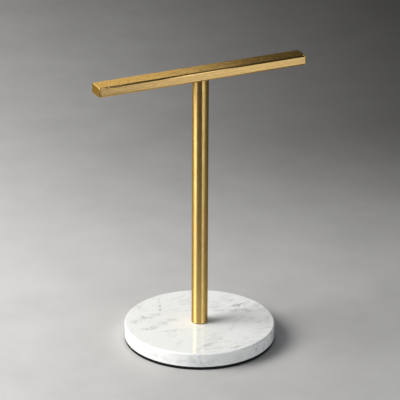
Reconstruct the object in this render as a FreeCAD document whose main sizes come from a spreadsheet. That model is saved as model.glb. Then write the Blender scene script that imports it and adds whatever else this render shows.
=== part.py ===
"""Hand towel stand: a flat brass bar on a round brass post, bolted to a marble disc.

Millimetres. +Z is up, +X runs along the towel bar, and the origin is the centre of the
footprint, on the surface that the rubber pad stands on.

How it comes apart, from the bottom up:
  base_pad           rubber ring glued under the stone, open in the middle for the hex key
  base_bolt          low-headed bolt that pulls the post down on the stone
  lock_washer        split washer over the bolt's head
  flat_washer        wide washer that spreads the load
  recess_gasket      fibre ring between the steel washer and the stone
  marble_base        polished stone disc, counterbored from below
  foot_gasket        thin ring between the end of the tube and the polished stone
  post_foot_bush     tapped bush brazed in the lower end of the post, with a locating spigot
  post_tube          round tube
  post_head_bush     tapped bush brazed in the upper end of the post
  bar_stud           headless screw, set in the head bush, that the bar is screwed down on
  bar_nut_block      tapped block, slid into the bar from one end and brazed over its hole
  bar_tube           flat rectangular tube that the towel hangs over
  bar_end_cap_left   plugged plate that closes the bar at -X
  bar_end_cap_right  plugged plate that closes the bar at +X
"""

import FreeCAD, Part
import math
import os
from types import SimpleNamespace

import Sketcher

DRIVING_SIZES = {
    # marble disc
    "base_diameter": 150.0,
    "stone_thickness": 14.5,
    "stone_top_round": 1.5,
    "stone_foot_bevel": 0.8,
    "bolt_recess_depth": 8.5,
    "bolt_recess_clearance": 2.0,
    # rubber pad under the disc
    "pad_thickness": 2.8,
    "pad_inset": 0.3,
    "pad_window_margin": 2.0,
    "pad_foot_bevel": 0.4,
    # gasket between the post and the stone
    "foot_gasket_thickness": 0.5,
    "foot_gasket_inset": 0.4,
    # round post
    "post_diameter": 16.0,
    "post_wall": 1.2,
    "post_length": 258.0,
    "post_end_bevel": 0.2,
    # tapped bushes in the post
    "foot_bush_length": 22.0,
    "head_bush_length": 20.0,
    "spigot_diameter_share": 0.625,
    "spigot_clearance": 0.3,
    "spigot_setback": 2.0,
    # base bolt, as a share of the post, and its head, as shares of the bolt
    "bolt_diameter_share": 0.375,
    "bolt_length": 20.0,
    "bolt_head_diameter_share": 1.7,
    "bolt_head_height_share": 0.65,
    "bolt_key_width_share": 0.667,
    "bolt_key_depth_share": 0.4,
    # what lies between the bolt's head and the stone
    "lock_washer_margin": 0.8,
    "lock_washer_thickness": 1.6,
    "lock_washer_slit": 1.0,
    "flat_washer_margin": 3.9,
    "flat_washer_thickness": 1.6,
    "recess_gasket_margin": 1.0,
    "recess_gasket_thickness": 1.0,
    "washer_hole_clearance": 0.4,
    # towel bar
    "bar_length": 220.0,
    "bar_width": 18.0,
    "bar_height": 10.0,
    "bar_wall": 1.2,
    "bar_corner_round": 1.2,
    # stud, as a share of the post, and tapped block that join the bar to the post
    "stud_diameter_share": 0.5,
    "stud_key_width_share": 0.5,
    "stud_key_depth_share": 0.5,
    "stud_hole_clearance": 0.15,
    "stud_grip_in_bush": 14.0,
    "stud_tip_setback": 1.4,
    "nut_block_length": 24.0,
    "nut_block_headroom": 0.2,
    # end caps of the bar
    "cap_plate_thickness": 2.0,
    "cap_face_bevel": 0.9,
    "cap_plug_depth": 6.0,
    "cap_plug_wall": 1.4,
    "seam_bevel": 0.05,
    # fits and cuts
    "joint_clearance": 0.05,
    "thread_clearance": 0.05,
    "thread_tip_bevel": 0.6,
    "cut_overrun": 1.0,
}

HEXAGON_SIDES = 6
HEXAGON_FLATS_SHARE = math.cos(math.pi / HEXAGON_SIDES)
EDGE_MATCH = 1e-4


class Length:
    """A number of millimetres together with the sheet expression that it comes from."""

    def __init__(self, number, expression):
        self.number = number
        self.expression = expression

    @staticmethod
    def of(thing):
        return thing if isinstance(thing, Length) else Length(thing, str(thing))

    def __add__(self, other):
        return Length(self.number + other.number, f"({self.expression} + {other.expression})")

    def __sub__(self, other):
        return Length(self.number - other.number, f"({self.expression} - {other.expression})")

    def __neg__(self):
        return Length(-self.number, f"(-{self.expression})")

    def __mul__(self, factor):
        factor = Length.of(factor)
        return Length(self.number * factor.number, f"({self.expression} * {factor.expression})")

    __rmul__ = __mul__

    def __truediv__(self, divisor):
        return Length(self.number / divisor, f"({self.expression} / {divisor})")


ZERO = Length(0.0, "0")
size = SimpleNamespace(
    **{name: Length(number, f"Sizes.{name}") for name, number in DRIVING_SIZES.items()})

# Sizes of the bolted joint at the foot
BOLT_DIAMETER = size.post_diameter * size.bolt_diameter_share
BOLT_HEAD_DIAMETER = BOLT_DIAMETER * size.bolt_head_diameter_share
BOLT_HEAD_HEIGHT = BOLT_DIAMETER * size.bolt_head_height_share
BOLT_THREAD_HOLE = BOLT_DIAMETER + 2 * size.thread_clearance
WASHER_HOLE = BOLT_DIAMETER + 2 * size.washer_hole_clearance
LOCK_WASHER_DIAMETER = BOLT_HEAD_DIAMETER + 2 * size.lock_washer_margin
FLAT_WASHER_DIAMETER = BOLT_HEAD_DIAMETER + 2 * size.flat_washer_margin
RECESS_GASKET_DIAMETER = FLAT_WASHER_DIAMETER + 2 * size.recess_gasket_margin
BOLT_RECESS_DIAMETER = FLAT_WASHER_DIAMETER + 2 * size.bolt_recess_clearance
SPIGOT_DIAMETER = size.post_diameter * size.spigot_diameter_share
SPIGOT_HOLE = SPIGOT_DIAMETER + 2 * size.spigot_clearance

# Sizes of the post and of the joint at its head
POST_BORE = size.post_diameter - 2 * size.post_wall
BUSH_DIAMETER = POST_BORE - 2 * size.joint_clearance
STUD_DIAMETER = size.post_diameter * size.stud_diameter_share
STUD_THREAD_HOLE = STUD_DIAMETER + 2 * size.thread_clearance

# Sizes of the bar
BAR_BORE_WIDTH = size.bar_width - 2 * size.bar_wall
BAR_BORE_HEIGHT = size.bar_height - 2 * size.bar_wall
BAR_TUBE_LENGTH = size.bar_length - 2 * size.cap_plate_thickness
NUT_BLOCK_HEIGHT = BAR_BORE_HEIGHT - size.nut_block_headroom
PLUG_WIDTH = BAR_BORE_WIDTH - 2 * size.joint_clearance
PLUG_HEIGHT = BAR_BORE_HEIGHT - 2 * size.joint_clearance

# Levels up the stand
STONE_FOOT = size.pad_thickness
RECESS_CEILING = STONE_FOOT + size.bolt_recess_depth
STONE_TOP = STONE_FOOT + size.stone_thickness
POST_FOOT = STONE_TOP + size.foot_gasket_thickness
BAR_UNDERSIDE = POST_FOOT + size.post_length
BAR_FLOOR = BAR_UNDERSIDE + size.bar_wall
FLAT_WASHER_TOP = RECESS_CEILING - size.recess_gasket_thickness
LOCK_WASHER_TOP = FLAT_WASHER_TOP - size.flat_washer_thickness
BOLT_SEAT = LOCK_WASHER_TOP - size.lock_washer_thickness

doc = FreeCAD.newDocument("hand_towel_stand")


def make_sheet():
    """One row for each driving size: its name, and its number under that name."""
    sheet = doc.addObject("Spreadsheet::Sheet", "Sizes")
    for row, (name, number) in enumerate(DRIVING_SIZES.items(), start=1):
        sheet.set(f"A{row}", name)
        sheet.set(f"B{row}", str(number))
        sheet.setAlias(f"B{row}", name)
    doc.recompute()


def new_body(label, level=ZERO, along_bar=ZERO, turn=0.0):
    """An empty body whose own origin stands at a level up the stand."""
    body = doc.addObject("PartDesign::Body", label)
    body.Label = label
    body.Placement.Rotation = FreeCAD.Rotation(FreeCAD.Vector(0, 0, 1), turn)
    body.setExpression("Placement.Base.z", level.expression)
    body.setExpression("Placement.Base.x", along_bar.expression)
    return body


def sketch_on(body, plane_role, name, offset=ZERO):
    """A sketch on one of the body's own origin planes, or at an offset from it."""
    sketch = body.newObject("Sketcher::SketchObject", name)
    plane = next(f for f in body.Origin.OriginFeatures if f.Role == plane_role)
    sketch.AttachmentSupport = [(plane, "")]
    sketch.MapMode = "FlatFace"
    sketch.setExpression("AttachmentOffset.Base.z", offset.expression)
    return sketch


def bind(sketch, name, constraint, length):
    """Adds a dimension to a sketch, and ties it to the sheet."""
    index = sketch.addConstraint(Sketcher.Constraint(*constraint, length.number))
    sketch.renameConstraint(index, name)
    sketch.setExpression(f"Constraints.{name}", length.expression)


def add_circle(sketch, name, diameter, construction=False):
    """A circle about the sketch's origin."""
    middle = FreeCAD.Vector(0, 0, 0)
    circle = Part.Circle(middle, FreeCAD.Vector(0, 0, 1), diameter.number / 2)
    edge = sketch.addGeometry(circle, construction)
    sketch.addConstraint(Sketcher.Constraint("Coincident", edge, 3, -1, 1))
    bind(sketch, name, ("Diameter", edge), diameter)
    return edge


def add_polygon(sketch, name, corners):
    """A closed polygon whose corners are pairs of lengths."""
    points = [FreeCAD.Vector(x.number, y.number, 0) for x, y in corners]
    lines = [sketch.addGeometry(Part.LineSegment(*ends), False)
             for ends in zip(points, points[1:] + points[:1])]
    for index, (line, following) in enumerate(zip(lines, lines[1:] + lines[:1])):
        sketch.addConstraint(Sketcher.Constraint("Coincident", line, 2, following, 1))
        x, y = corners[index]
        bind(sketch, f"{name}_x{index}", ("DistanceX", -1, 1, line, 1), x)
        bind(sketch, f"{name}_y{index}", ("DistanceY", -1, 1, line, 1), y)


def add_rectangle(sketch, name, width, height, lift):
    """A rectangle, centred across and lifted above the sketch's origin."""
    side = width / 2
    top = lift + height
    add_polygon(sketch, name, ((-side, lift), (side, lift), (side, top), (-side, top)))


def add_bar_outline(sketch):
    """The bar's outside: a rectangle with round corners that stands on the sketch's origin."""
    side = size.bar_width.number / 2 - size.bar_corner_round.number
    low = size.bar_corner_round.number
    high = size.bar_height.number - size.bar_corner_round.number
    arcs = []
    for quarter, (across, up) in enumerate(((side, low), (side, high),
                                            (-side, high), (-side, low))):
        circle = Part.Circle(FreeCAD.Vector(across, up, 0), FreeCAD.Vector(0, 0, 1), low)
        start = (quarter - 1) * math.pi / 2
        arc = Part.ArcOfCircle(circle, start, start + math.pi / 2)
        arcs.append(sketch.addGeometry(arc, False))
    lines = []
    for arc, following in zip(arcs, arcs[1:] + arcs[:1]):
        segment = Part.LineSegment(sketch.getPoint(arc, 2), sketch.getPoint(following, 1))
        line = sketch.addGeometry(segment, False)
        sketch.addConstraint(Sketcher.Constraint("Tangent", arc, 2, line, 1))
        sketch.addConstraint(Sketcher.Constraint("Tangent", line, 2, following, 1))
        lines.append(line)
    right, top, left, bottom = lines
    for line in (right, left):
        sketch.addConstraint(Sketcher.Constraint("Vertical", line))
    for line in (top, bottom):
        sketch.addConstraint(Sketcher.Constraint("Horizontal", line))
    for arc in arcs[1:]:
        sketch.addConstraint(Sketcher.Constraint("Equal", arcs[0], arc))
    bind(sketch, "corner", ("Radius", arcs[0]), size.bar_corner_round)
    bind(sketch, "width", ("DistanceX", left, 1, right, 1), size.bar_width)
    bind(sketch, "half_width", ("DistanceX", -1, 1, right, 1), size.bar_width / 2)
    bind(sketch, "height", ("DistanceY", bottom, 1, top, 1), size.bar_height)
    bind(sketch, "lift", ("DistanceY", -1, 1, bottom, 1), ZERO)


def add_hexagon(sketch, name, across_flats):
    """A regular hexagon about the origin, held by the circle through its corners."""
    across_corners = across_flats / HEXAGON_FLATS_SHARE
    circle = add_circle(sketch, name, across_corners, construction=True)
    radius = across_corners.number / 2
    angles = [math.tau * corner / HEXAGON_SIDES for corner in range(HEXAGON_SIDES)]
    points = [FreeCAD.Vector(math.cos(angle), math.sin(angle), 0) * radius
              for angle in angles]
    lines = [sketch.addGeometry(Part.LineSegment(*ends), False)
             for ends in zip(points, points[1:] + points[:1])]
    for line, following in zip(lines, lines[1:] + lines[:1]):
        sketch.addConstraint(Sketcher.Constraint("Coincident", line, 2, following, 1))
        sketch.addConstraint(Sketcher.Constraint("PointOnObject", line, 1, circle))
    for line in lines[1:]:
        sketch.addConstraint(Sketcher.Constraint("Equal", lines[0], line))
    sketch.addConstraint(Sketcher.Constraint("PointOnObject", lines[0], 1, -1))


def add_pad(body, name, sketch, length, downwards=False, both_ways=False):
    """Extrudes a sketch."""
    pad = body.newObject("PartDesign::Pad", name)
    pad.Profile = sketch
    pad.SideType = "Symmetric" if both_ways else "One side"
    pad.Reversed = downwards
    pad.setExpression("Length", length.expression)
    doc.recompute()


def add_pocket(body, name, sketch, depth, both_ways=False):
    """Cuts a sketch out of the body along the sketch's normal, or half each way."""
    before = body.Shape.Volume
    pocket = body.newObject("PartDesign::Pocket", name)
    pocket.Profile = sketch
    pocket.SideType = "Symmetric" if both_ways else "One side"
    pocket.Reversed = not both_ways
    pocket.setExpression("Length", depth.expression)
    doc.recompute()
    if body.Shape.Volume >= before:
        raise RuntimeError(f"{body.Label}: {name} cuts nothing")


def break_edges(body, name, kind, amount, chosen):
    """Rounds or bevels those edges of the body's last feature that a test picks."""
    last = body.Tip
    picked = [f"Edge{number}" for number, edge in enumerate(last.Shape.Edges, start=1)
              if chosen(edge)]
    if not picked:
        raise RuntimeError(f"{body.Label}: {name} found no edge")
    feature = body.newObject(f"PartDesign::{kind}", name)
    feature.Base = (last, picked)
    feature.setExpression("Radius" if kind == "Fillet" else "Size", amount.expression)
    doc.recompute()


def same(number, length):
    return math.isclose(number, length.number, abs_tol=EDGE_MATCH)


def is_rim(edge, level, diameter):
    """Whether an edge is the full circle of a diameter at a level of its body."""
    curve = edge.Curve
    return (isinstance(curve, Part.Circle) and same(curve.Radius * 2, diameter)
            and same(curve.Center.z, level))


def lies_across(edge, station):
    """Whether an edge lies wholly in one plane across the bar."""
    return same(edge.BoundBox.XMin, station) and same(edge.BoundBox.XMax, station)


def add_ring(body, outer, inner, height):
    """A flat ring that stands on the body's origin."""
    outline = sketch_on(body, "XY_Plane", "ring_outline")
    add_circle(outline, "outer", outer)
    add_circle(outline, "inner", inner)
    add_pad(body, "ring", outline, height)


def add_disc(body, name, diameter, height, low=ZERO, downwards=False):
    """A round boss about the body's axis, from a level."""
    outline = sketch_on(body, "XY_Plane", f"{name}_outline", low)
    add_circle(outline, name, diameter)
    add_pad(body, name, outline, height, downwards)


def cut_hole(body, name, diameter, low, high):
    """A round hole about the body's axis, from one level to another."""
    outline = sketch_on(body, "XY_Plane", f"{name}_outline", low)
    add_circle(outline, name, diameter)
    add_pocket(body, name, outline, high - low)


def cut_key_socket(body, across_flats, low, high):
    """A hexagon socket about the body's axis, from one level to another."""
    outline = sketch_on(body, "XY_Plane", "socket_outline", low)
    add_hexagon(outline, "across_corners", across_flats)
    add_pocket(body, "socket", outline, high - low)


def make_base_pad():
    """Rubber ring, nearly as wide as the stone, with a window round the bolt."""
    body = new_body("base_pad")
    outer = size.base_diameter - 2 * size.pad_inset
    window = BOLT_RECESS_DIAMETER + 2 * size.pad_window_margin
    add_ring(body, outer, window, size.pad_thickness)
    break_edges(body, "foot_bevel", "Chamfer", size.pad_foot_bevel,
                lambda edge: is_rim(edge, ZERO, outer))


def make_base_bolt():
    """Low-headed bolt, head down. Its origin is where the head bears on the washer."""
    body = new_body("base_bolt", BOLT_SEAT)
    head_foot = -BOLT_HEAD_HEIGHT
    add_disc(body, "head", BOLT_HEAD_DIAMETER, BOLT_HEAD_HEIGHT, downwards=True)
    add_disc(body, "shank", BOLT_DIAMETER, size.bolt_length)
    break_edges(body, "bevels", "Chamfer", size.thread_tip_bevel,
                lambda edge: is_rim(edge, head_foot, BOLT_HEAD_DIAMETER)
                or is_rim(edge, size.bolt_length, BOLT_DIAMETER))
    cut_key_socket(body, BOLT_DIAMETER * size.bolt_key_width_share, head_foot,
                   head_foot + BOLT_DIAMETER * size.bolt_key_depth_share)


def make_lock_washer():
    """Split washer, tightened flat, with its slanting slit open."""
    body = new_body("lock_washer", BOLT_SEAT)
    height = size.lock_washer_thickness
    add_ring(body, LOCK_WASHER_DIAMETER, WASHER_HOLE, height)
    slit = sketch_on(body, "YZ_Plane", "slit_outline")
    far = (size.lock_washer_slit + height) / 2
    near = far - size.lock_washer_slit
    add_polygon(slit, "slit", ((-far, ZERO), (-near, ZERO), (far, height), (near, height)))
    add_pocket(body, "slit", slit, LOCK_WASHER_DIAMETER)


def make_flat_washer():
    """Wide steel washer."""
    body = new_body("flat_washer", LOCK_WASHER_TOP)
    add_ring(body, FLAT_WASHER_DIAMETER, WASHER_HOLE, size.flat_washer_thickness)


def make_recess_gasket():
    """Fibre ring between the flat washer and the ceiling of the recess."""
    body = new_body("recess_gasket", FLAT_WASHER_TOP)
    add_ring(body, RECESS_GASKET_DIAMETER, WASHER_HOLE, size.recess_gasket_thickness)


def make_marble_base():
    """Stone disc with eased rims, and a counterbored hole for the spigot and the bolt."""
    body = new_body("marble_base", STONE_FOOT)
    top = size.stone_thickness
    add_disc(body, "disc", size.base_diameter, top)
    cut_hole(body, "spigot_hole", SPIGOT_HOLE, -size.cut_overrun, top + size.cut_overrun)
    cut_hole(body, "bolt_recess", BOLT_RECESS_DIAMETER, -size.cut_overrun,
             size.bolt_recess_depth)
    break_edges(body, "top_round", "Fillet", size.stone_top_round,
                lambda edge: is_rim(edge, top, size.base_diameter))
    break_edges(body, "foot_bevel", "Chamfer", size.stone_foot_bevel,
                lambda edge: is_rim(edge, ZERO, size.base_diameter))


def make_foot_gasket():
    """Thin ring that keeps the end of the tube off the polished stone."""
    body = new_body("foot_gasket", STONE_TOP)
    add_ring(body, size.post_diameter - 2 * size.foot_gasket_inset, SPIGOT_HOLE,
             size.foot_gasket_thickness)


def make_post_foot_bush():
    """Turned bush flush with the lower end of the tube; its spigot centres it in the stone."""
    body = new_body("post_foot_bush", POST_FOOT)
    web = size.stone_thickness - size.bolt_recess_depth
    spigot_drop = size.foot_gasket_thickness + web - size.spigot_setback
    add_disc(body, "barrel", BUSH_DIAMETER, size.foot_bush_length)
    add_disc(body, "spigot", SPIGOT_DIAMETER, spigot_drop, downwards=True)
    cut_hole(body, "tapping", BOLT_THREAD_HOLE, -spigot_drop - size.cut_overrun,
             size.foot_bush_length + size.cut_overrun)


def make_post_tube():
    """Round tube with its outer ends bevelled."""
    body = new_body("post_tube", POST_FOOT)
    add_ring(body, size.post_diameter, POST_BORE, size.post_length)
    break_edges(body, "end_bevels", "Chamfer", size.post_end_bevel,
                lambda edge: is_rim(edge, ZERO, size.post_diameter)
                or is_rim(edge, size.post_length, size.post_diameter))


def make_post_head_bush():
    """Turned bush flush with the upper end of the tube."""
    body = new_body("post_head_bush", BAR_UNDERSIDE - size.head_bush_length)
    add_disc(body, "barrel", BUSH_DIAMETER, size.head_bush_length)
    cut_hole(body, "tapping", STUD_THREAD_HOLE, -size.cut_overrun,
             size.head_bush_length + size.cut_overrun)


def make_bar_stud():
    """Headless screw with a key socket in its upper end. Its origin is in the joint's plane."""
    body = new_body("bar_stud", BAR_UNDERSIDE)
    tip = size.bar_wall + NUT_BLOCK_HEIGHT - size.stud_tip_setback
    foot = -size.stud_grip_in_bush
    add_disc(body, "shank", STUD_DIAMETER, tip - foot, foot)
    break_edges(body, "tip_bevels", "Chamfer", size.thread_tip_bevel,
                lambda edge: is_rim(edge, foot, STUD_DIAMETER)
                or is_rim(edge, tip, STUD_DIAMETER))
    cut_key_socket(body, STUD_DIAMETER * size.stud_key_width_share,
                   tip - STUD_DIAMETER * size.stud_key_depth_share, tip)


def make_bar_nut_block():
    """Tapped block on the floor of the bar's bore."""
    body = new_body("bar_nut_block", BAR_FLOOR)
    section = sketch_on(body, "YZ_Plane", "section")
    add_rectangle(section, "block", PLUG_WIDTH, NUT_BLOCK_HEIGHT, ZERO)
    add_pad(body, "block", section, size.nut_block_length, both_ways=True)
    cut_hole(body, "tapping", STUD_THREAD_HOLE, -size.cut_overrun,
             NUT_BLOCK_HEIGHT + size.cut_overrun)


def make_bar_tube():
    """Rectangular tube with a hole in its lower wall for the stud."""
    body = new_body("bar_tube", BAR_UNDERSIDE)
    outline = sketch_on(body, "YZ_Plane", "outline")
    add_bar_outline(outline)
    add_pad(body, "bar", outline, BAR_TUBE_LENGTH, both_ways=True)
    end = BAR_TUBE_LENGTH / 2
    break_edges(body, "seam_bevels", "Chamfer", size.seam_bevel,
                lambda edge: lies_across(edge, end) or lies_across(edge, -end))
    bore = sketch_on(body, "YZ_Plane", "bore_outline")
    add_rectangle(bore, "bore", BAR_BORE_WIDTH, BAR_BORE_HEIGHT, size.bar_wall)
    add_pocket(body, "bore", bore, BAR_TUBE_LENGTH + 2 * size.cut_overrun, both_ways=True)
    cut_hole(body, "stud_hole", STUD_DIAMETER + 2 * size.stud_hole_clearance,
             -size.cut_overrun, size.bar_wall + size.cut_overrun)


def make_bar_end_cap(label, turn, along_bar):
    """Plate that carries the bar's outline to its end, with a hollow plug inside the tube."""
    body = new_body(label, BAR_UNDERSIDE, along_bar, turn)
    plate = sketch_on(body, "YZ_Plane", "plate_outline")
    add_bar_outline(plate)
    add_pad(body, "plate", plate, size.cap_plate_thickness)
    break_edges(body, "face_bevel", "Chamfer", size.cap_face_bevel,
                lambda edge: lies_across(edge, size.cap_plate_thickness))
    break_edges(body, "seam_bevel", "Chamfer", size.seam_bevel,
                lambda edge: lies_across(edge, ZERO))
    plug_lift = size.bar_wall + size.joint_clearance
    plug = sketch_on(body, "YZ_Plane", "plug_outline")
    add_rectangle(plug, "plug", PLUG_WIDTH, PLUG_HEIGHT, plug_lift)
    add_pad(body, "plug", plug, size.cap_plug_depth, downwards=True)
    hollow = sketch_on(body, "YZ_Plane", "hollow_outline",
                       -size.cap_plug_depth - size.cut_overrun)
    add_rectangle(hollow, "hollow", PLUG_WIDTH - 2 * size.cap_plug_wall,
                  PLUG_HEIGHT - 2 * size.cap_plug_wall, plug_lift + size.cap_plug_wall)
    add_pocket(body, "hollow", hollow, size.cap_plug_depth + size.cut_overrun)


def check_bodies(bodies):
    """Stops the build if anything failed, or if a sub-part isn't one closed valid solid."""
    failed = [o.Label for o in doc.Objects if "Invalid" in o.State or "Error" in o.State]
    if failed:
        raise RuntimeError(f"failed objects: {failed}")
    for body in bodies:
        shape = body.Shape
        if shape.isNull() or not shape.isValid() or len(shape.Solids) != 1:
            raise RuntimeError(f"{body.Label} isn't one valid solid")
        if not shape.Solids[0].isClosed() or shape.Volume <= 0:
            raise RuntimeError(f"{body.Label} isn't closed")


def write_parts(bodies):
    """One STEP file for each sub-part, and a line that says how large it is."""
    os.makedirs("parts", exist_ok=True)
    for body in bodies:
        body.Shape.exportStep(f"parts/{body.Label}.step")
        box = body.Shape.Solids[0].optimalBoundingBox(True, False)
        print(f"{body.Label:18s} volume {body.Shape.Volume:10.1f}"
              f"  x {box.XMin:8.2f} to {box.XMax:7.2f}"
              f"  y {box.YMin:7.2f} to {box.YMax:6.2f}"
              f"  z {box.ZMin:7.2f} to {box.ZMax:7.2f}")


def main():
    make_sheet()
    make_base_pad()
    make_base_bolt()
    make_lock_washer()
    make_flat_washer()
    make_recess_gasket()
    make_marble_base()
    make_foot_gasket()
    make_post_foot_bush()
    make_post_tube()
    make_post_head_bush()
    make_bar_stud()
    make_bar_nut_block()
    make_bar_tube()
    make_bar_end_cap("bar_end_cap_left", 180.0, -(BAR_TUBE_LENGTH / 2))
    make_bar_end_cap("bar_end_cap_right", 0.0, BAR_TUBE_LENGTH / 2)
    doc.recompute()
    bodies = [o for o in doc.Objects if o.TypeId == "PartDesign::Body"]
    check_bodies(bodies)
    write_parts(bodies)


main()
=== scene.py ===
"""Looks of the hand towel stand: a brushed brass bar and post on a polished marble disc.

Metres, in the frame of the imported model: +Z is up and +X runs along the towel bar.
"""

import math

import bmesh
import bpy
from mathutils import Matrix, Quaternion, Vector


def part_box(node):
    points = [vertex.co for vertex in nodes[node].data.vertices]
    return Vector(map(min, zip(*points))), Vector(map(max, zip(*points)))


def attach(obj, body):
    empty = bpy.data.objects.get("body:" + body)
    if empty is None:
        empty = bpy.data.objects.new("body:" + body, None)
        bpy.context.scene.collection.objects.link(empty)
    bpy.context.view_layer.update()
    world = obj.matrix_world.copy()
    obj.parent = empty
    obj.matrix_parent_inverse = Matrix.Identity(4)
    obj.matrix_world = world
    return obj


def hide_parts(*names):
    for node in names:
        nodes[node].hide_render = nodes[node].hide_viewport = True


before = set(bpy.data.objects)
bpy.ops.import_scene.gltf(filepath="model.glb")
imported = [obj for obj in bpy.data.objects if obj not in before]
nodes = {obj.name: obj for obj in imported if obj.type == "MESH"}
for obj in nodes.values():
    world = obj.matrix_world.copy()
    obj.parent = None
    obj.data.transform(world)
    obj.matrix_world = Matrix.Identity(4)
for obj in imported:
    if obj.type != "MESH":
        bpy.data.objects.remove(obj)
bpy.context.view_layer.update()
MM = 0.001


# Shader nodes

class Wire:
    """The output of a shader node. Arithmetic on it adds Math nodes."""

    def __init__(self, finish, socket):
        self.finish = finish
        self.socket = socket

    def math(self, operation, *terms):
        values = dict(enumerate(terms))
        return self.finish.node("ShaderNodeMath", {"operation": operation}, values)

    def __add__(self, other):
        return self.math("ADD", self, other)

    def __sub__(self, other):
        return self.math("SUBTRACT", self, other)

    def __mul__(self, other):
        return self.math("MULTIPLY", self, other)

    def __pow__(self, other):
        return self.math("POWER", self, other)

    def __rsub__(self, other):
        return self.math("SUBTRACT", other, self)

    __radd__ = __add__
    __rmul__ = __mul__

    def clear_of(self, low, high):
        """0 up to low, 1 from high, and a smooth step between them."""
        return self.finish.node("ShaderNodeMapRange", {"interpolation_type": "SMOOTHSTEP"},
                                {"Value": self, "From Min": low, "From Max": high})

    def size(self):
        return self.math("ABSOLUTE", self)

    def at_most(self, other):
        return self.math("MINIMUM", self, other)


class Finish:
    """A material that is built from nodes."""

    def __init__(self, name):
        self.material = bpy.data.materials.new(name)
        self.material.use_nodes = True
        self.tree = self.material.node_tree
        self.tree.nodes.clear()

    def node(self, kind, settings, values, output=0):
        """Adds a node: its settings first, then its sockets' values or links."""
        made = self.tree.nodes.new(kind)
        for name, value in settings.items():
            setattr(made, name, value)
        for name, value in values.items():
            if isinstance(value, Wire):
                self.tree.links.new(value.socket, made.inputs[name])
            else:
                made.inputs[name].default_value = value
        return Wire(self, made.outputs[output]) if len(made.outputs) else made

    def place(self, scale=(1, 1, 1), turn=(0, 0, 0), shift=(0, 0, 0)):
        """Object coordinates, moved, turned and stretched."""
        spot = self.node("ShaderNodeTexCoord", {}, {}, output="Object")
        return self.node("ShaderNodeMapping", {}, {
            "Vector": spot, "Scale": scale, "Rotation": turn, "Location": shift})

    def noise(self, spot, scale, detail=3.0, roughness=0.5, distortion=0.0, output="Fac"):
        return self.node("ShaderNodeTexNoise", {}, {
            "Vector": spot, "Scale": scale, "Detail": detail, "Roughness": roughness,
            "Distortion": distortion}, output=output)

    def blend(self, factor, first, second):
        """A mix of two colours; the sockets of Mix's colours are its seventh and eighth."""
        return self.node("ShaderNodeMix", {"data_type": "RGBA", "blend_type": "MIX"},
                         {0: factor, 6: first, 7: second}, output=2)

    def patch(self, spot, place, turn, half_size):
        """1 in the middle of a soft oval, and 0 outside it."""
        near = self.node("ShaderNodeMapping", {"vector_type": "TEXTURE"}, {
            "Vector": spot, "Location": place, "Rotation": (0, 0, turn), "Scale": half_size})
        far = self.node("ShaderNodeVectorMath", {"operation": "LENGTH"}, {"Vector": near}, "Value")
        return 1 - far.clear_of(0.1, 1.0)

    def bump(self, height, distance, strength=1.0):
        return self.node("ShaderNodeBump", {}, {
            "Height": height, "Distance": distance, "Strength": strength})

    def shine(self, values):
        """Ends the material in a Principled shader."""
        surface = self.node("ShaderNodeBsdfPrincipled", {}, values)
        self.node("ShaderNodeOutputMaterial", {}, {"Surface": surface})
        return self.material


def grey(level):
    return (level, level, level, 1.0)


# Finishes

CAMERA_TURN = math.radians(25.7)

# Brass: the bar's two tones, the post's two, the caps' second tone (painted shade that darkens
# the caps' end faces), the tint at grazing angles, and how deep the bar's scratches are.
BRASS = (0.73, 0.495, 0.20, 1.0)
BRASS_DEEP = (0.65, 0.41, 0.14, 1.0)
POST_PALE = (0.75, 0.53, 0.20, 1.0)
POST_DEEP = (0.66, 0.43, 0.13, 1.0)
# Painted shade: the caps' brass is darker than the bar's to stand in for the shade on their end
# faces.
BRASS_PAINTED_SHADE = (0.60, 0.42, 0.15, 1.0)
BRASS_EDGE = (0.80, 0.57, 0.24, 1.0)
SCRATCH_DEPTH = 0.07 * MM

# The floor: its colours, the places in metres between which it fades, how dark it gets on
# the right and behind, how pale it stays far on the left, and how strong its mottling is.
# The fades are painted light: the falloff of the lamps' pool painted into the floor's colour,
# and a painted dark brown shade in front of the stand.
PAPER_PALE = (0.706, 0.690, 0.660, 1.0)
# Painted falloff: the grey that the floor fades to where the lamps' pool of light would fall off.
PAPER_PAINTED_DIM = (0.042, 0.040, 0.034, 1.0)
# Painted shade: the dark brown that the floor turns to in front of the stand, seen in the brass's
# reflections.
PAPER_PAINTED_SHADE_BROWN = (0.050, 0.033, 0.014, 1.0)
FADE_RIGHT = (-0.80, 0.45)
FADE_BEHIND = (0.08, 0.61)
FADE_IN_FRONT = (-0.38, -0.13)
FADE_LEFT = (-0.62, -0.33)
DARK_RIGHT = 0.40
DARK_BEHIND = 0.54
PALE_LEFT = 0.4
MOTTLING = 0.32

# Marble: its colours, how far its streaks are bent, the direction of its fine lines, how
# narrow and dark they are, and how dark its clouds are.
MARBLE_WHITE = (0.945, 0.948, 0.898, 1.0)
MARBLE_GREY = (0.42, 0.43, 0.43, 1.0)
CRUMPLE = 14.0 * MM
LINE_TURN = math.radians(32)
LINE_SHARPNESS = 17.0
LINE_DEPTH = 0.30
CLOUD_DEPTH = 0.08
DISC_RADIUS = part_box("marble_base")[1].x

# How far a streak's soft oval reaches, as a share of its length and its width, and how
# much of it is broken up by flecks. The streaks on the disc's side share one size and one
# lean in radians.
REACH_ALONG = 0.62
REACH_ACROSS = 0.68
THROUGH_STONE = 60.0 * MM
STREAK_FLECKS = 0.65
SIDE_STREAK_REACH = (9.0 * MM, 6.0 * MM, 5.0 * MM)
SIDE_STREAK_LEAN = 0.4
SIDE_STREAK_FLECKS = 0.4

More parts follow.
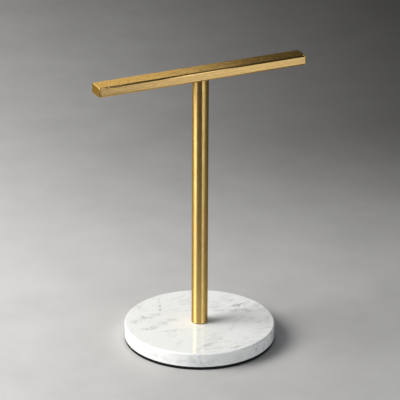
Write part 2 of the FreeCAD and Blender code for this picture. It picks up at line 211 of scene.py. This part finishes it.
# The marble's streaks, as the photograph shows them. Each has its middle in millimetres
# to the right of the disc's middle and away from the camera, its length, its width, its
# turn in degrees, and how dark it is. A side streak has its turn round the disc from the
# camera, its height, and how dark it is.
STREAKS = (
    (-39, 34, 7, 5, 90, 0.9), (-39, 27, 7, 5, 80, 0.8), (-41, 15, 12, 7, 60, 0.4),
    (-56, 7, 17, 6, 8, 0.7), (-65, -2, 11, 10, 0, 0.7), (-44, -15, 12, 7, 30, 0.5),
    (-53, -19, 22, 5, 4, 0.6), (-34, -6, 12, 7, -30, 0.4), (-27, 3, 20, 5, 4, 0.55),
    (-41, 49, 26, 4, 88, 0.35), (-27, 27, 28, 4, 28, 0.3), (-27, -22, 34, 4, 15, 0.5),
    (-20, -50, 22, 5, 65, 0.35), (-48, 11, 26, 7, 28, 0.25), (-40, -8, 44, 10, 41, 0.22),
    (-44, 4, 60, 46, 20, 0.12),
    (37, 38, 18, 6, 38, 1.0), (31, 50, 14, 9, 45, 0.7), (35, 26, 14, 9, 20, 0.7),
    (47, 27, 17, 9, -10, 0.75), (53, 8, 12, 8, 0, 0.4), (60, -1, 11, 7, 30, 0.35),
    (64, 28, 12, 9, -20, 0.4), (15, 32, 15, 8, 60, 0.3), (57, 38, 14, 7, 25, 0.5),
    (22, 26, 22, 6, 8, 0.4), (48, 44, 20, 5, 20, 0.3), (32, -19, 16, 6, 80, 0.25),
    (68, 8, 18, 5, 90, 0.25), (69, -13, 11, 6, 80, 0.25), (58, -24, 18, 10, 30, 0.3),
    (36, -58, 17, 5, 35, 0.8), (18, -41, 12, 7, 20, 0.3), (5, -55, 14, 5, 30, 0.5),
    (10, -53, 54, 3.5, 47, 0.35))
SIDE_STREAKS = ((-48, 8, 0.25), (-36, 9, 0.4), (-26, 7, 0.3), (-14, 8, 0.35), (-5, 10, 0.35),
                (4, 7, 0.4), (11, 9, 0.3), (31, 9, 0.2), (49, 11, 0.25))


def brushed_bar_brass(name):
    """Brass brushed along the bar: the scratches spread the light across the bar."""
    finish = Finish(name)
    fine = finish.noise(finish.place(scale=(1 / 100, 1, 1)), 2600.0, detail=2.0)
    broad = finish.noise(finish.place(scale=(1 / 120, 1, 1)), 900.0, detail=2.0)
    worn = finish.noise(finish.place(), 28.0, detail=3.0)
    streak = fine * 0.6 + broad * 0.4
    return finish.shine({
        "Base Color": finish.blend(streak.clear_of(0.3, 0.7), BRASS_DEEP, BRASS),
        "Metallic": 1.0,
        "Specular Tint": BRASS_EDGE,
        "Roughness": 0.25 + (streak - 0.5) * 0.12 + (worn - 0.5) * 0.04,
        "Normal": finish.bump(streak, SCRATCH_DEPTH)})


def cap_brass_with_painted_shade(name):
    """Brass ground flush at the bar's ends: short upright scratches, shallower ones, and a darker
    colour that is painted shade on the end faces.
    """
    finish = Finish(name)
    scratch = finish.noise(finish.place(scale=(1, 1, 1 / 12)), 1500.0, detail=3.0)
    worn = finish.noise(finish.place(scale=(1, 1, 0.5)), 260.0, detail=2.0)
    tone = (scratch * 0.5 + worn * 0.5).clear_of(0.35, 0.65)
    return finish.shine({
        # Both cap tones are darker than the bar's brass: painted shade for the end faces.
        "Base Color": finish.blend(tone, BRASS_PAINTED_SHADE, BRASS_DEEP),
        "Metallic": 1.0,
        "Specular Tint": BRASS_EDGE,
        "Roughness": 0.24 + (scratch - 0.5) * 0.1,
        "Normal": finish.bump(scratch, SCRATCH_DEPTH * 0.3)})


def satin_post_brass(name):
    """Brass tube, satin finished as it turned: light spreads up and down the post."""
    finish = Finish(name)
    fine = finish.noise(finish.place(scale=(1, 1, 1 / 30)), 2200.0, detail=2.0)
    worn = finish.noise(finish.place(scale=(1, 1, 0.3)), 40.0, detail=3.0)
    return finish.shine({
        "Base Color": finish.blend(fine.clear_of(0.3, 0.7), POST_DEEP, POST_PALE),
        "Metallic": 1.0,
        "Specular Tint": BRASS_EDGE,
        "Roughness": 0.34 + (worn - 0.5) * 0.02,
        "Anisotropic": 0.97,
        "Anisotropic Rotation": 0.25})


def polished_marble(name):
    """White marble, polished: clouds, fine lines all one way, and soft grey streaks."""
    finish = Finish(name)
    spot = finish.place(turn=(0, 0, CAMERA_TURN), shift=(-CRUMPLE / 2,) * 3)
    crumple = finish.noise(spot, 170.0, detail=4.0, roughness=0.6, output="Color")
    bent = finish.node("ShaderNodeVectorMath", {"operation": "MULTIPLY_ADD"},
                       {0: crumple, 1: (CRUMPLE,) * 3, 2: spot})
    fleck = finish.noise(bent, 420.0, detail=4.0, roughness=0.6).clear_of(0.36, 0.62)
    cloud = finish.noise(bent, 24.0, detail=5.0, roughness=0.6)
    grain = finish.place(scale=(0.35, 1, 0.6), turn=(0, 0, CAMERA_TURN - LINE_TURN))
    lines = finish.noise(grain, 75.0, detail=5.0, roughness=0.62, distortion=0.5)
    lines = (1 - ((lines - 0.5).size() * LINE_SHARPNESS).at_most(1.0)) ** 2
    lines = lines * cloud.clear_of(0.42, 0.6)
    dirt = lines * LINE_DEPTH + cloud.clear_of(0.45, 0.8) * CLOUD_DEPTH
    for across, away, length, width, turn, depth in STREAKS:
        streak = finish.patch(bent, (across * MM, away * MM, 0), math.radians(turn),
                              (length * REACH_ALONG * MM, width * REACH_ACROSS * MM,
                               THROUGH_STONE))
        dirt = dirt + streak * ((1 - STREAK_FLECKS) + fleck * STREAK_FLECKS) * depth
    for turn, height, depth in SIDE_STREAKS:
        angle = math.radians(turn)
        place = (math.sin(angle) * DISC_RADIUS, -math.cos(angle) * DISC_RADIUS, height * MM)
        streak = finish.patch(bent, place, angle + SIDE_STREAK_LEAN, SIDE_STREAK_REACH)
        dirt = dirt + streak * ((1 - SIDE_STREAK_FLECKS) + fleck * SIDE_STREAK_FLECKS) * depth
    return finish.shine({
        "Base Color": finish.blend(dirt.at_most(1.0), MARBLE_WHITE, MARBLE_GREY),
        "Roughness": 0.06 + cloud * 0.02})


def black_rubber(name):
    finish = Finish(name)
    grain = finish.noise(finish.place(), 1800.0, detail=2.0)
    return finish.shine({
        "Base Color": finish.blend(grain.clear_of(0.3, 0.7), grey(0.003), grey(0.010)),
        "Specular IOR Level": 0.2,
        "Roughness": 0.65 + grain * 0.2,
        "Normal": finish.bump(grain, 0.0001, 0.5)})


def zinc_steel(name):
    finish = Finish(name)
    mottle = finish.noise(finish.place(), 500.0, detail=4.0)
    return finish.shine({
        "Base Color": finish.blend(mottle, grey(0.42), grey(0.58)),
        "Metallic": 1.0,
        "Roughness": 0.3 + mottle * 0.15})


def fibre(name):
    finish = Finish(name)
    fleck = finish.noise(finish.place(), 1500.0, detail=4.0)
    return finish.shine({
        "Base Color": finish.blend(fleck, (0.20, 0.03, 0.015, 1), (0.33, 0.06, 0.03, 1)),
        "Roughness": 0.75})


def turned_brass(name):
    finish = Finish(name)
    ring = finish.noise(finish.place(scale=(0.02, 0.02, 1)), 3000.0, detail=1.0)
    return finish.shine({
        "Base Color": finish.blend(ring, BRASS_DEEP, BRASS),
        "Metallic": 1.0,
        "Roughness": 0.25 + ring * 0.1})


def paper_with_painted_light(name):
    """The pale floor with painted light: a painted falloff to grey on the right and behind, and a
    painted dark brown shade in front.
    """
    finish = Finish(name)
    spot = finish.place(turn=(0, 0, CAMERA_TURN))
    across = finish.node("ShaderNodeSeparateXYZ", {}, {"Vector": spot}, "X")
    away = finish.node("ShaderNodeSeparateXYZ", {}, {"Vector": spot}, "Y")
    mottle = finish.noise(spot, 14.0, detail=6.0, roughness=0.6) - 0.5
    # Painted light: the lamps' pool fading on the right, behind and far on the left is painted
    # into the floor's colour.
    behind = DARK_RIGHT + DARK_BEHIND * away.clear_of(*FADE_BEHIND)
    shade = across.clear_of(*FADE_RIGHT) * behind
    left = PALE_LEFT + (1 - PALE_LEFT) * across.clear_of(*FADE_LEFT)
    pale = (1 - shade) * left * (1 + mottle * MOTTLING)
    tone = finish.blend(pale, PAPER_PAINTED_DIM, PAPER_PALE)
    return finish.shine({
        # Painted shade: the floor turns dark brown in front of the stand.
        "Base Color": finish.blend(away.clear_of(*FADE_IN_FRONT), PAPER_PAINTED_SHADE_BROWN, tone),
        "Roughness": 0.9})


def dress(piece, material):
    piece.data.materials.clear()
    piece.data.materials.append(material)


# Pieces

TUBE_WALL = 1.2 * MM
BAR_EDGE_BEVEL = 0.9 * MM
END_FACE_BEVEL = 0.6 * MM
EDGE_SOFTENING = 0.35 * MM
SIDE_SOFTENING = 0.60 * MM
STUD_ROOM = 0.15 * MM
STUD_HOLE_ROOM = 8.0 * MM
STUD_HOLE_SIDES = 32
PLUG_GAP = 0.05 * MM
PLUG_WALL = 1.4 * MM
PLUG_ROOT = 0.5 * MM
FLAT_FACE = 3.0 * MM * MM
RIDGE_ANGLE = 0.3
TOUCHING = 0.01 * MM


def add_box(shape, low, high):
    """Adds a box between two corners."""
    corners = bmesh.ops.create_cube(shape, size=1.0)["verts"]
    bmesh.ops.scale(shape, vec=high - low, verts=corners)
    bmesh.ops.translate(shape, vec=(low + high) / 2, verts=corners)


def bevel(shape, edges, offset, segments=1):
    bmesh.ops.bevel(shape, geom=edges, offset=offset, affect="EDGES", segments=segments,
                    profile=0.5, material=-1)


def along_bar(shape):
    """The edges that run along the bar for most of the shape's length."""
    ends = [v.co.x for v in shape.verts]
    length = max(ends) - min(ends)
    return [e for e in shape.edges if abs(e.verts[0].co.x - e.verts[1].co.x) > length / 2]


def faces_at(shape, across_bar):
    """The faces that lie square across the bar at this place."""
    return [f for f in shape.faces if all(abs(v.co.x - across_bar) < TOUCHING for v in f.verts)]


def finish_piece(shape, name):
    """Small faces are shaded smooth and large ones flat, so that flat brass stays flat."""
    bmesh.ops.recalc_face_normals(shape, faces=shape.faces)
    for face in shape.faces:
        narrow = min(e.calc_length() for e in face.edges) < EDGE_SOFTENING
        face.smooth = narrow or face.calc_area() < FLAT_FACE
    mesh = bpy.data.meshes.new(name)
    shape.to_mesh(mesh)
    shape.free()
    piece = bpy.data.objects.new(name, mesh)
    bpy.context.scene.collection.objects.link(piece)
    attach(piece, "root")
    return piece


def open_stud_hole(shape, low, high):
    """Cuts the stud's hole through the lower wall: a square out, and a ring in."""
    stud_low, stud_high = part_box("bar_stud")
    radius = (stud_high.x - stud_low.x) / 2 + STUD_ROOM
    rings = []
    for level in (low.z, low.z + TUBE_WALL):
        patch = [f for f in shape.faces if all(abs(v.co.z - level) < TOUCHING
                                               and abs(v.co.x) < STUD_HOLE_ROOM * 1.01
                                               for v in f.verts)]
        border = [e for f in patch for e in f.edges]
        bmesh.ops.delete(shape, geom=patch, context="FACES_ONLY")
        ring = bmesh.ops.create_circle(shape, segments=STUD_HOLE_SIDES, radius=radius)["verts"]
        bmesh.ops.translate(shape, vec=(0, 0, level), verts=ring)
        ring_edges = list({e for v in ring for e in v.link_edges})
        bmesh.ops.triangle_fill(shape, use_beauty=True, edges=border + ring_edges)
        rings += ring_edges
    bmesh.ops.bridge_loops(shape, edges=rings)


def make_bar_shell():
    """The bar's tube: long bevels outside, a plain bore, and the stud's hole."""
    low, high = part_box("bar_tube")
    wall = Vector((0, TUBE_WALL, TUBE_WALL))
    shape = bmesh.new()
    add_box(shape, low, high)
    bevel(shape, along_bar(shape), BAR_EDGE_BEVEL)
    sides = [e for e in along_bar(shape) if abs(e.verts[0].co.y) > high.y - TOUCHING]
    bevel(shape, sides, SIDE_SOFTENING, segments=4)
    add_box(shape, low + wall, high - wall)
    for end in (low.x, high.x):
        faces = faces_at(shape, end)
        rims = [e for f in faces for e in f.edges]
        bmesh.ops.delete(shape, geom=faces, context="FACES_ONLY")
        bmesh.ops.triangle_fill(shape, use_beauty=True, edges=rims)
    for place in (-STUD_HOLE_ROOM, STUD_HOLE_ROOM):
        every = shape.verts[:] + shape.edges[:] + shape.faces[:]
        bmesh.ops.bisect_plane(shape, geom=every, plane_co=(place, 0, 0), plane_no=(1, 0, 0))
    open_stud_hole(shape, low, high)
    piece = finish_piece(shape, "bar_tube_shell")
    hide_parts("bar_tube")
    return piece


def make_end_cap(node, outwards):
    """A plate with a bevelled face, and a hollow plug that goes into the tube."""
    low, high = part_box(node)
    bar_low, bar_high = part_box("bar_tube")
    seam, face, plug_end = bar_high.x, high.x, low.x
    if outwards < 0:
        seam, face, plug_end = bar_low.x, low.x, high.x
    shape = bmesh.new()
    add_box(shape, Vector((min(seam, face), low.y, low.z)),
            Vector((max(seam, face), high.y, high.z)))
    bevel(shape, along_bar(shape), BAR_EDGE_BEVEL)
    bevel(shape, list({e for f in faces_at(shape, face) for e in f.edges}), END_FACE_BEVEL)
    ridges = [e for e in shape.edges if e.calc_face_angle() > RIDGE_ANGLE
              and not all(abs(v.co.x - seam) < TOUCHING for v in e.verts)]
    bevel(shape, ridges, EDGE_SOFTENING, segments=3)
    inset = Vector((0, TUBE_WALL + PLUG_GAP, TUBE_WALL + PLUG_GAP))
    root = seam + outwards * PLUG_ROOT
    plug_low = Vector((min(root, plug_end), low.y, low.z)) + inset
    plug_high = Vector((max(root, plug_end), high.y, high.z)) - inset
    add_box(shape, plug_low, plug_high)
    mouth = faces_at(shape, plug_end)
    bmesh.ops.inset_individual(shape, faces=mouth, thickness=PLUG_WALL, use_even_offset=True)
    mouth = bmesh.ops.extrude_discrete_faces(shape, faces=mouth)["faces"]
    bmesh.ops.translate(shape, vec=(seam - plug_end, 0, 0), verts=mouth[0].verts[:])
    piece = finish_piece(shape, node + "_plate")
    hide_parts(node)
    return piece


bar_brass = brushed_bar_brass("brushed_bar_brass")
cap_brass = cap_brass_with_painted_shade("cap_brass_with_painted_shade")
post_brass = satin_post_brass("satin_post_brass")
bush_brass = turned_brass("turned_bush_brass")
marble = polished_marble("polished_marble")
rubber = black_rubber("black_pad_rubber")
steel = zinc_steel("zinc_plated_steel")
red_fibre = fibre("red_fibre")

dress(make_bar_shell(), bar_brass)
dress(make_end_cap("bar_end_cap_left", -1), cap_brass)
dress(make_end_cap("bar_end_cap_right", 1), cap_brass)
for node, material in (
        ("bar_nut_block", bush_brass), ("bar_stud", steel), ("post_tube", post_brass),
        ("post_head_bush", bush_brass), ("post_foot_bush", bush_brass),
        ("foot_gasket", rubber), ("marble_base", marble), ("base_pad", rubber),
        ("recess_gasket", red_fibre), ("flat_washer", steel), ("lock_washer", steel),
        ("base_bolt", steel)):
    dress(nodes[node], material)


# Camera

CAMERA_STAND_OFF = 2.3515
CAMERA_HEIGHT = 1.1392
CAMERA_DIP = math.radians(22.84)
CAMERA_ROLL = 0.004
LENS = 234.0
FARTHEST_SEEN = 60.0


def from_camera(turn, distance, height):
    """A place round the stand: turn is in degrees from the camera, to the right."""
    angle = math.radians(turn) - CAMERA_TURN
    return Vector((math.sin(angle) * distance, -math.cos(angle) * distance, height))


def set_camera():
    lens = bpy.data.cameras.new("camera")
    lens.lens = LENS
    lens.clip_end = FARTHEST_SEEN
    camera = bpy.data.objects.new("camera", lens)
    bpy.context.scene.collection.objects.link(camera)
    camera.location = from_camera(0, CAMERA_STAND_OFF, CAMERA_HEIGHT)
    gaze = from_camera(180, math.cos(CAMERA_DIP), -math.sin(CAMERA_DIP))
    roll = Quaternion((0, 0, 1), CAMERA_ROLL)
    camera.rotation_mode = "QUATERNION"
    camera.rotation_quaternion = gaze.to_track_quat("-Z", "Y") @ roll
    bpy.context.scene.camera = camera


# Floor, lamps and world

FLOOR_RADIUS = 14.0
FLOOR_SIDES = 96
ROOM_LIGHT = grey(0.045)
WHITE = (1.0, 1.0, 1.0)
COOL = (0.95, 1.0, 1.18)
MILD = (0.94, 1.0, 1.10)

# Each softbox has its turn from the camera in degrees, its distance and height, its width
# and how tall it is, how bright its face looks, its colour, and the height it faces.
SOFTBOXES = (
    ("left_low_softbox", -60, 1.30, 0.28, 0.66, 0.52, 3.2, COOL, 0.20),
    ("left_softbox", -77, 1.60, 0.95, 0.95, 0.70, 6.9, WHITE, 0.10),
    ("left_high_softbox", -81, 1.20, 1.08, 1.10, 0.92, 6.9, WHITE, 0.10),
    ("right_far_softbox", 36, 1.20, 0.12, 0.44, 0.20, 6.9, MILD, 0.05),
    ("right_low_softbox", 55, 0.50, 0.20, 0.24, 0.24, 1.12, MILD, 0.20),
    ("right_edge_softbox", 53, 0.60, 0.40, 0.36, 0.10, 2.6, MILD, 0.28),
    ("back_left_softbox", -128, 0.62, 0.56, 0.34, 0.26, 2.7, WHITE, 0.20),
    ("back_low_softbox", -169, 0.73, 0.81, 0.36, 0.34, 2.8, COOL, 0.20))


def lay_floor():
    shape = bmesh.new()
    bmesh.ops.create_circle(shape, cap_ends=True, segments=FLOOR_SIDES, radius=FLOOR_RADIUS)
    mesh = bpy.data.meshes.new("floor")
    shape.to_mesh(mesh)
    shape.free()
    floor = bpy.data.objects.new("floor", mesh)
    bpy.context.scene.collection.objects.link(floor)
    dress(floor, paper_with_painted_light("paper_with_painted_light"))


def hang_softbox(name, turn, distance, height, width, tall, radiance, colour, aim_height):
    """A rectangular lamp that faces the stand's axis."""
    lamp = bpy.data.lights.new(name, "AREA")
    lamp.shape = "RECTANGLE"
    lamp.size = width
    lamp.size_y = tall
    lamp.energy = radiance * math.pi * width * tall
    lamp.color = colour
    softbox = bpy.data.objects.new(name, lamp)
    bpy.context.scene.collection.objects.link(softbox)
    softbox.location = from_camera(turn, distance, height)
    facing = Vector((0, 0, aim_height)) - softbox.location
    softbox.rotation_mode = "QUATERNION"
    softbox.rotation_quaternion = facing.to_track_quat("-Z", "Y")
    softbox.visible_camera = False


def light_room():
    world = bpy.data.worlds.new("room")
    world.use_nodes = True
    world.node_tree.nodes["Background"].inputs["Color"].default_value = ROOM_LIGHT
    bpy.context.scene.world = world


set_camera()
lay_floor()
light_room()
for softbox in SOFTBOXES:
    hang_softbox(*softbox)
bpy.context.scene.view_settings.view_transform = "Standard"
